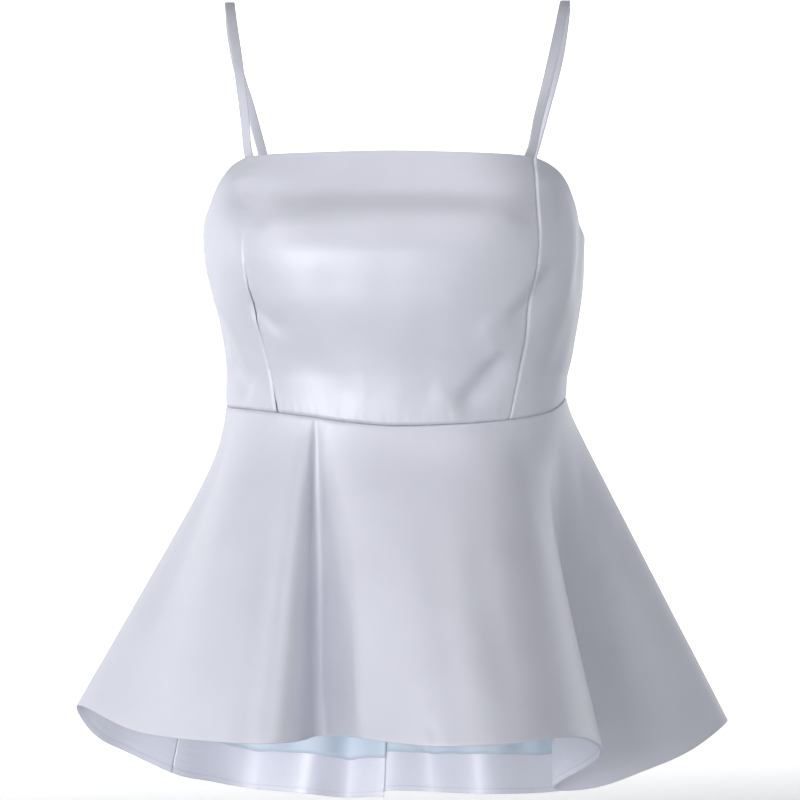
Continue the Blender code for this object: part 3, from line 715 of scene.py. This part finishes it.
def cloth_material(name, colour, roughness, metallic, sheen, threads, bump):
    """Woven cloth: its colour and roughness vary a little, and its weave shows as a fine bump."""
    found = bpy.data.materials.get(name)
    if found:
        return found
    values = {"Metallic": metallic, "Sheen Weight": sheen, "Sheen Roughness": 0.4}
    made, tree, shader = new_material(name, values)
    nodes, links = tree.nodes, tree.links
    weave = nodes.new("ShaderNodeGroup")
    weave.node_tree = cloth_group()
    weave.inputs["Threads per metre"].default_value = threads
    shade = mapped(tree, weave.outputs["Shade"], (0.3, 1.0), (0, 1))
    dark = tuple(0.955 * c for c in colour)
    light = tuple(min(1.0, 1.03 * c) for c in colour)
    links.new(tinted(tree, shade, dark, light), shader.inputs["Base Color"])
    around = (roughness - 0.03, roughness + 0.03)
    links.new(mapped(tree, weave.outputs["Roughness"], (0.25, 0.75), around), shader.inputs["Roughness"])
    relief = nodes.new("ShaderNodeBump")
    relief.inputs["Strength"].default_value = bump
    relief.inputs["Distance"].default_value = 0.1 * MM
    links.new(weave.outputs["Height"], relief.inputs["Height"])
    links.new(relief.outputs["Normal"], shader.inputs["Normal"])
    return made


def satin():
    return cloth_material("Satin", settings().satin_colour, settings().satin_roughness, 0.25, 0.1, 1500, 0.25)


def facing_satin():
    roughness = settings().satin_roughness + 0.04
    # Painted light: the facing is the same satin with its colour painted 15 % lighter, standing in for light
    # that reaches the inside of the hem
    colour = tuple(1.15 * c for c in settings().satin_colour)
    return cloth_material("Facing satin", colour, roughness, 0.2, 0.1, 1500, 0.3)


def lining_cloth():
    return cloth_material("Lining", settings().lining_colour, 0.6, 0.1, 0.15, 2500, 0.2)


def thread():
    colour = tuple(0.9 * c for c in settings().satin_colour)
    return cloth_material("Thread", colour, 0.55, 0.0, 0.2, 3000, 0.4)


def stitch_mesh(name, points, outward, pitch, radius, share=0.66, sides=6):
    """Stitches along a line: each a short rod with round ends, laid along the line and sunk a little.
    Rings of a few sides grow and shrink along each rod by a listed profile."""
    distance = walked(points)
    count = max(2, int(distance[-1] / pitch))
    centre = (np.arange(count) + 0.5) * distance[-1] / count
    half = share * pitch / 2

    def along_line(values, at):
        return np.stack([np.interp(at, distance, values[:, k]) for k in range(3)], -1)

    ends = [along_line(points, centre - half), along_line(points, centre + half)]
    up = unit(along_line(outward, centre))
    heading = unit(ends[1] - ends[0])
    side = unit(np.cross(heading, up))
    up = np.cross(side, heading)
    stations = np.array([0.0, 0.12, 0.5, 0.88, 1.0])
    swell = np.array([0.25, 0.8, 1.0, 0.8, 0.25]) * radius
    turn = np.linspace(0, 2 * np.pi, sides, endpoint=False)
    line = ends[0][:, None] + (ends[1] - ends[0])[:, None] * stations[None, :, None]
    ring = side[:, None, None] * np.cos(turn)[:, None] + up[:, None, None] * np.sin(turn)[:, None]
    solid = line[:, :, None] + ring * swell[None, :, None, None]
    each = len(stations) * sides
    index = np.arange(each).reshape(len(stations), sides)
    walls = np.stack([index[:-1], np.roll(index[:-1], -1, 1), np.roll(index[1:], -1, 1), index[1:]], -1)
    walls = walls.reshape(-1, 4)
    faces = (walls[None] + each * np.arange(count)[:, None, None]).reshape(-1, 4).tolist()
    starts = (index[0, ::-1][None] + each * np.arange(count)[:, None]).tolist()
    finishes = (index[-1][None] + each * np.arange(count)[:, None]).tolist()
    mesh = bpy.data.meshes.new(name)
    mesh.from_pydata(solid.reshape(-1, 3).tolist(), [], faces + starts + finishes)
    mesh.uv_layers.new(name="UVMap")
    mesh.shade_smooth()
    return mesh


BodicePanel = namedtuple("BodicePanel", "name start end columns rows width length area")
BODICE_PANELS = (
    BodicePanel("bodice_back_left", -180, -SIDE_SEAM_BEARING, 110, 90, 0.167, 0.134, 0.0210),
    BodicePanel("bodice_side_front_left", -SIDE_SEAM_BEARING, "left", 90, 130, 0.169, 0.212, 0.0223),
    BodicePanel("bodice_front", "left", "right", 200, 150, 0.241, 0.223, 0.0491),
    BodicePanel("bodice_side_front_right", "right", SIDE_SEAM_BEARING, 90, 130, 0.152, 0.215, 0.0208),
    BodicePanel("bodice_back_right", SIDE_SEAM_BEARING, 180, 110, 90, 0.167, 0.134, 0.0210),
)


class PEPLUM_TOP_OT_bodice(bpy.types.Operator):
    """Build the front, side-front and back panels of the bodice, which dip and pucker at their seams"""

    bl_idname = "peplum_top.bodice"
    bl_label = "Bodice"

    def execute(self, context):
        for panel in BODICE_PANELS:
            bearing, height = bodice_grid(panel.start, panel.end, panel.columns, panel.rows)
            face, normal = on_body(bearing, height), body_normal(bearing, height)
            across, down = walked(face, axis=1), walked(face, axis=0)
            inward = rounded_edge(down) + seam_dip(down[-1:] - down)
            stand = bodice_relief(bearing, height)
            for distance in (across, across[:, -1:] - across):
                inward = inward + seam_dip(distance)
                stand = stand + seam_pucker(distance, down)
            stand = stand + seam_pucker(down[-1:] - down, across, pitch=7 * MM)
            points = face + normal * (stand - inward)[..., None]
            thickness = settings().bodice_thickness
            made = add_cloth(panel.name + "_cloth", points, satin(), "satin", thickness, panel.name)
        return {"FINISHED"}


PeplumPanel = namedtuple("PeplumPanel", "name start end columns width length area")
LEFT_SEAM, RIGHT_SEAM = along_at_bearing(-SIDE_SEAM_BEARING), along_at_bearing(SIDE_SEAM_BEARING)
PEPLUM_PANELS = (
    PeplumPanel("back_left", 0, LEFT_SEAM, 150, 0.248, 0.347, 0.065),
    PeplumPanel("front", LEFT_SEAM, RIGHT_SEAM, 430, 0.868, 0.397, 0.201),
    PeplumPanel("back_right", RIGHT_SEAM, HEM_LENGTH, 160, 0.346, 0.352, 0.081),
)


def peplum_line(panel):
    return panel.start + (panel.end - panel.start) * fold_shares(panel.start, panel.end, panel.columns)


def hem_distance(along):
    """Length of the cloth from the waist seam to the hem, in metres."""
    return np.linalg.norm(on_peplum(along, along * 0 + 1) - on_peplum(along, along * 0), axis=-1)


class PEPLUM_TOP_OT_peplum(bpy.types.Operator):
    """Build the flared front and backs of the peplum, whose hem turns up inside"""

    bl_idname = "peplum_top.peplum"
    bl_label = "Peplum"

    def execute(self, context):
        turn = np.radians(np.linspace(0, 180, 9))
        for panel in PEPLUM_PANELS:
            along = peplum_line(panel)[None, :]
            length = hem_distance(along)
            radius = HEM_FOLD / 2
            share = np.concatenate([[0, 0.004, 0.008, 0.014], np.linspace(0.022, 1, 78)])[:, None]
            down = share * (1 - radius / length)
            depth = 0 * down
            edge_down = 1 - radius / length + radius * np.sin(turn[1:, None]) / length
            edge_depth = radius * (1 - np.cos(turn[1:, None])) + 0 * along
            back_down = 1 - radius / length - np.array([[2.0], [6.0]]) * MM / length
            back_depth = HEM_FOLD + 0 * back_down
            down = np.concatenate([down, edge_down, back_down])
            depth = np.concatenate([depth, edge_depth, back_depth])
            along = along + 0 * down
            face, normal = on_peplum(along, down), peplum_normal(along, down)
            across, from_top = walked(face, axis=1), down * length
            stand = peplum_relief(along, down) - seam_dip(from_top)
            stand = stand + seam_pucker(from_top, across, pitch=7 * MM)
            for distance in (across, across[:, -1:] - across):
                stand = stand - seam_dip(distance) + seam_pucker(distance, from_top)
            points = face + normal * (stand - depth)[..., None]
            node = "peplum_" + panel.name
            thickness = settings().cloth_thickness
            made = add_cloth(node + "_cloth", points, satin(), "satin", thickness, node)
        return {"FINISHED"}


class PEPLUM_TOP_OT_facing(bpy.types.Operator):
    """Build the satin facing inside the hem, rippled along its lower edge, with its row of stitches"""

    bl_idname = "peplum_top.facing"
    bl_label = "Hem facing"

    def execute(self, context):
        thickness = settings().cloth_thickness
        for panel in PEPLUM_PANELS:
            along = peplum_line(panel)[None, :]
            length = hem_distance(along)
            rise = np.concatenate([[0, 0.3, 0.8], np.linspace(1.5, FACING_DEPTH / MM, 30)])[:, None] * MM
            down = (1 - (rise + 0.6 * MM) / length)[::-1]
            rise = rise[::-1]
            along = along + 0 * down
            face, normal = on_peplum(along, down), peplum_normal(along, down)
            across = walked(face, axis=1)
            ripple = 0.35 * MM * np.sin(2 * np.pi * rise / (7 * MM) + 0.02 * along)
            ripple = ripple * np.exp(-rise / (16 * MM))
            ripple = ripple * (0.5 + 0.5 * np.sin(2 * np.pi * across / (43 * MM)))
            inward = FACING_IN + ripple + 0.25 * MM * soft_unevenness(along, rise / MM, seed=3, wavelength=30)
            inward = inward - peplum_relief(along, down)
            inward = inward + 0.5 * MM * np.exp(-((FACING_DEPTH - rise) / (1.2 * MM)) ** 2)
            points = face - normal * np.maximum(inward, FACING_IN - peplum_relief(along, down))[..., None]
            node = "hem_facing_" + panel.name
            made = add_cloth(node + "_cloth", points, facing_satin(), "facing_satin", thickness, node)
            line = np.abs(rise[:, 0] - 3.6 * MM).argmin()
            inner = points[line] - normal[line] * (thickness + 0.12 * MM)
            pitch = settings().stitch_pitch
            stitches = stitch_mesh(node + "_stitches", inner, -normal[line], pitch, 0.28 * MM)
            add_piece(node + "_stitches", stitches, thread(), "facing_satin")
        return {"FINISHED"}


class PEPLUM_TOP_OT_lining(bpy.types.Operator):
    """Build the loose lining inside the two backs of the peplum"""

    bl_idname = "peplum_top.lining"
    bl_label = "Lining"

    def execute(self, context):
        for panel in (PEPLUM_PANELS[0], PEPLUM_PANELS[2]):
            along = peplum_line(panel)[None, :]
            length = hem_distance(along)
            bottom = 1 - (FACING_DEPTH - LINING_OVER_FACING) / length
            down = 0.01 + (bottom - 0.01) * np.linspace(0, 1, 70)[:, None]
            along = along + 0 * down
            face, normal = on_peplum(along, down), peplum_normal(along, down)
            slack = 1.2 * MM * down * (1 + np.sin(2 * np.pi * along / 34 + 2 * down))
            inward = LINING_IN + slack - peplum_relief(along, down)
            points = face - normal * inward[..., None]
            node = "lining_" + panel.name
            made = add_cloth(node + "_cloth", points, lining_cloth(), "lining_cloth", 0.4 * MM, node)
        return {"FINISHED"}


def against_body(x, height, place):
    """The point at that x and height midway through a strap's thickness, inside the bodice wall, and
    the level direction along the wall there."""
    low, high = (0.0, 89.0) if place == "front" else (91.0, 180.0)
    for _ in range(30):
        middle = (low + high) / 2
        too_near = abs(on_body(np.array(middle * np.sign(x)), height)[0]) < abs(x)
        low, high = (middle, high) if too_near == (place == "front") else (low, middle)
    bearing = np.array(middle * np.sign(x))
    normal = body_normal(bearing, height)
    beside = unit(np.cross(normal, [0, 0, 1.0]))
    return on_body(bearing, height) - STRAP_IN * normal, beside if beside[0] < 0 else -beside


class PEPLUM_TOP_OT_straps(bpy.types.Operator):
    """Build the two narrow shoulder straps, each a tube of satin pressed flat"""

    bl_idname = "peplum_top.straps"
    bl_label = "Straps"

    def execute(self, context):
        for side in ("left", "right"):
            points, turn_at, turn_values = [], [], []
            for number, row in enumerate(STRAP_PATH):
                x, height = getattr(row, side) * MM, np.array(row.z * MM)
                point, wide = np.array([x, (row.y or 0) * MM, height]), np.array([-1.0, 0, 0])
                if row.y is None:
                    point, wide = against_body(x, height, row.place)
                if row.y is None or row.place == "shoulder":
                    turn_at.append(number)
                    turn_values.append(wide)
                points.append(point)
            points, turn_values = np.array(points), np.array(turn_values)
            knots = walked(points)
            at = np.linspace(0, knots[-1], 220)
            line = np.stack([smooth(knots, points[:, axis], at) for axis in range(3)], -1)
            wide = np.stack([smooth(knots[turn_at], turn_values[:, axis], at) for axis in range(3)], -1)
            heading = unit(np.gradient(line, axis=0))
            wide = unit(wide - (wide * heading).sum(-1, keepdims=True) * heading)
            face = np.cross(heading, wide)
            angle = np.radians(np.linspace(0, 360, 25))
            half_width, half_thickness = settings().strap_width / 2, settings().strap_thickness / 2
            out = half_width * np.sign(np.cos(angle)) * np.abs(np.cos(angle)) ** 0.35
            up = half_thickness * np.sign(np.sin(angle)) * np.abs(np.sin(angle)) ** 0.6
            sway = 0.15 * MM * np.sin(at[:, None] / (11 * MM)) * np.sin(angle)
            surface = line[:, None] + wide[:, None] * out[:, None] + face[:, None] * (up + sway)[..., None]
            name = "strap_" + side
            around = np.broadcast_to(walked(surface[0])[None, :], surface.shape[:2])
            flat = np.stack([around, np.broadcast_to(at[:, None], surface.shape[:2])], -1)
            mesh = grid_mesh(name + "_cloth", surface[:, ::-1], flat[:, ::-1])
            made = add_piece(name + "_cloth", mesh, satin(), "satin", name)
            weld = made.modifiers.new("Close", "WELD")
            weld.merge_threshold = 0.00001
        return {"FINISHED"}


class PEPLUM_TOP_OT_zip(bpy.types.Operator):
    """Finish the zip at the centre back: enamel on its slider and pull, and cloth on its tape"""

    bl_idname = "peplum_top.zip"
    bl_label = "Zip"

    def execute(self, context):
        values = {"Roughness": 0.3, "Coat Weight": 0.4}
        enamel, tree, shader = new_material("Zip enamel finish", values)
        place = tree.nodes.new("ShaderNodeTexCoord")
        specks = tree.nodes.new("ShaderNodeTexNoise")
        specks.inputs["Scale"].default_value = 900
        tree.links.new(place.outputs["Object"], specks.inputs["Vector"])
        colour = tinted(tree, specks.outputs["Fac"], (0.52, 0.57, 0.68), (0.60, 0.65, 0.75))
        tree.links.new(colour, shader.inputs["Base Color"])
        for node in ("zip_slider", "zip_pull"):
            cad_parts[node].material_slots[0].material = enamel
        tape, tree, shader = new_material("Zip tape finish", {"Roughness": 0.8})
        place = tree.nodes.new("ShaderNodeTexCoord")
        ribs = tree.nodes.new("ShaderNodeTexWave")
        ribs.bands_direction = "Z"
        ribs.inputs["Scale"].default_value = 300
        tree.links.new(place.outputs["Object"], ribs.inputs["Vector"])
        colour = tinted(tree, ribs.outputs["Fac"], (0.50, 0.55, 0.66), (0.58, 0.63, 0.74))
        tree.links.new(colour, shader.inputs["Base Color"])
        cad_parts["zip_tape"].material_slots[0].material = tape
        return {"FINISHED"}


class PEPLUM_TOP_OT_stitches(bpy.types.Operator):
    """Sew the small stitches that show along the waist seam"""

    bl_idname = "peplum_top.stitches"
    bl_label = "Waist stitches"

    def execute(self, context):
        bearing = np.linspace(-179.5, 179.5, 1400)
        height = edge_height(WAIST_SEAM, bearing) + 0.5 * MM
        normal = body_normal(bearing, height)
        line = on_body(bearing, height) - normal * 0.75 * MM
        mesh = stitch_mesh("waist_stitches", line, normal, settings().stitch_pitch, 0.3 * MM)
        add_piece("waist_stitches", mesh, thread(), "satin")
        return {"FINISHED"}


# The lamps: the spread of a beam is in degrees, and the power in watts
Lamp = namedtuple("Lamp", "name place size power aim spread shown")
MIDDLE = (0, 0, -0.35)
SOFT = (1.4, 1.4)
LAMPS = (
    Lamp("Key", (-1.2, -2.97, -0.35), SOFT, 44, MIDDLE, 180, True),
    Lamp("Left", (-3.18, -0.28, -0.07), SOFT, 3, MIDDLE, 180, True),
    Lamp("High left", (-1.96, -1.96, 1.25), SOFT, 14, MIDDLE, 180, True),
    Lamp("High front", (0.5, -2.2, 2.0), SOFT, 18, MIDDLE, 180, True),
    Lamp("Low", (-0.06, -0.2, -0.70), (0.34, 0.06), 0.12, (-0.06, 0.15, -0.63), 70, False),
)


class PEPLUM_TOP_OT_stage(bpy.types.Operator):
    """Build the pale floor that rises into a wall all round, the soft lights and the camera"""

    bl_idname = "peplum_top.stage"
    bl_label = "Stage"

    def execute(self, context):
        scene = bpy.context.scene
        add_cove()
        for lamp in LAMPS:
            add_light(lamp)
        world = bpy.data.worlds.new("Studio")
        world.use_nodes = True
        world.node_tree.nodes["Background"].inputs["Color"].default_value = (0.93, 0.95, 1.0, 1)
        world.node_tree.nodes["Background"].inputs["Strength"].default_value = 0.10
        scene.world = world
        scene.view_settings.view_transform = "Standard"
        add_camera()
        return {"FINISHED"}


def add_cove():
    """A round floor of pale paper that curves up into a wall, wide enough to stand every camera inside.
    Its profile is a flat run, a quarter circle and an upright run, turned about the vertical."""
    floor, radius, bend, top = -0.74, 6.0, 1.5, 2.6
    angle = np.radians(np.linspace(0, 90, 14))
    flat_run = np.linspace(0.0005, radius - bend, 12)
    out = np.concatenate([flat_run, radius - bend + bend * np.sin(angle[1:]), [radius]])
    up = np.concatenate([np.full(12, floor), floor + bend * (1 - np.cos(angle[1:])), [top]])
    turn = np.radians(np.linspace(0, 360, 97))
    points = np.stack([out * np.cos(turn[:, None]), out * np.sin(turn[:, None]), up + 0 * turn[:, None]], -1)
    mesh = grid_mesh("stage_cove", points, points[..., :2])
    cove = bpy.data.objects.new("stage_cove", mesh)
    bpy.context.scene.collection.objects.link(cove)
    values = {
        "Base Color": (0.86, 0.87, 0.88, 1),
        "Roughness": 0.9,
        "Emission Color": (1, 1, 1, 1),
    }
    paper, tree, shader = new_material("Stage paper", values)
    place = tree.nodes.new("ShaderNodeTexCoord")
    toward = tree.nodes.new("ShaderNodeVectorMath")
    toward.operation = "DOT_PRODUCT"
    toward.inputs[1].default_value = (-0.35, 0.94, 0)
    tree.links.new(place.outputs["Object"], toward.inputs[0])
    glow = mapped(tree, toward.outputs["Value"], (0.3, 1.6), (0.05, 0.9))
    tree.links.new(glow, shader.inputs["Emission Strength"])
    mesh.materials.append(paper)


def add_light(lamp):
    """A soft rectangular light, turned to its aim. One under the hem is hidden from the camera."""
    light = bpy.data.lights.new(lamp.name, "AREA")
    light.shape = "RECTANGLE"
    light.size, light.size_y = lamp.size
    light.energy = lamp.power
    light.spread = np.radians(lamp.spread)
    made = bpy.data.objects.new(lamp.name, light)
    bpy.context.scene.collection.objects.link(made)
    made.location = lamp.place
    made.rotation_euler = (Vector(lamp.aim) - Vector(lamp.place)).to_track_quat("-Z", "Y").to_euler()
    made.visible_camera = lamp.shown


def add_camera():
    """The camera of the photograph: level, 3 m away and 3 degrees round to the right, with 640 mm of the
    view across at that distance."""
    distance, turned, across = 3.0, np.radians(3.0), 0.640
    target = Vector((0.004 * np.cos(turned), 0.004 * np.sin(turned), -0.319))
    camera = bpy.data.cameras.new("Camera")
    camera.sensor_width = 36
    camera.lens = camera.sensor_width * distance / across
    camera.clip_start, camera.clip_end = 0.1, 30
    made = bpy.data.objects.new("Camera", camera)
    made.location = target + distance * Vector((np.sin(turned), -np.cos(turned), 0))
    made.rotation_euler = (np.radians(90), 0, turned)
    bpy.context.scene.collection.objects.link(made)
    bpy.context.scene.camera = made


STEPS = ("bodice", "peplum", "facing", "lining", "straps", "zip", "stitches", "stage")


class PEPLUM_TOP_PT_panel(bpy.types.Panel):
    """The top's settings and building steps"""

    bl_label = "Peplum Top"
    bl_space_type = "VIEW_3D"
    bl_region_type = "UI"
    bl_category = "Peplum Top"

    def draw(self, context):
        for name in TopSettings.__annotations__:
            self.layout.prop(context.scene.peplum_top, name)
        for step in STEPS:
            self.layout.operator("peplum_top." + step)


CLASSES = (
    TopSettings,
    PEPLUM_TOP_OT_bodice,
    PEPLUM_TOP_OT_peplum,
    PEPLUM_TOP_OT_facing,
    PEPLUM_TOP_OT_lining,
    PEPLUM_TOP_OT_straps,
    PEPLUM_TOP_OT_zip,
    PEPLUM_TOP_OT_stitches,
    PEPLUM_TOP_OT_stage,
    PEPLUM_TOP_PT_panel,
)


def register():
    for each in CLASSES:
        bpy.utils.register_class(each)
    bpy.types.Scene.peplum_top = bpy.props.PointerProperty(type=TopSettings)


def unregister():
    del bpy.types.Scene.peplum_top
    for each in reversed(CLASSES):
        bpy.utils.unregister_class(each)


def main():
    register()
    for step in STEPS:
        getattr(bpy.ops.peplum_top, step)()
    bpy.context.view_layer.update()


if __name__ == "__main__":
    main()
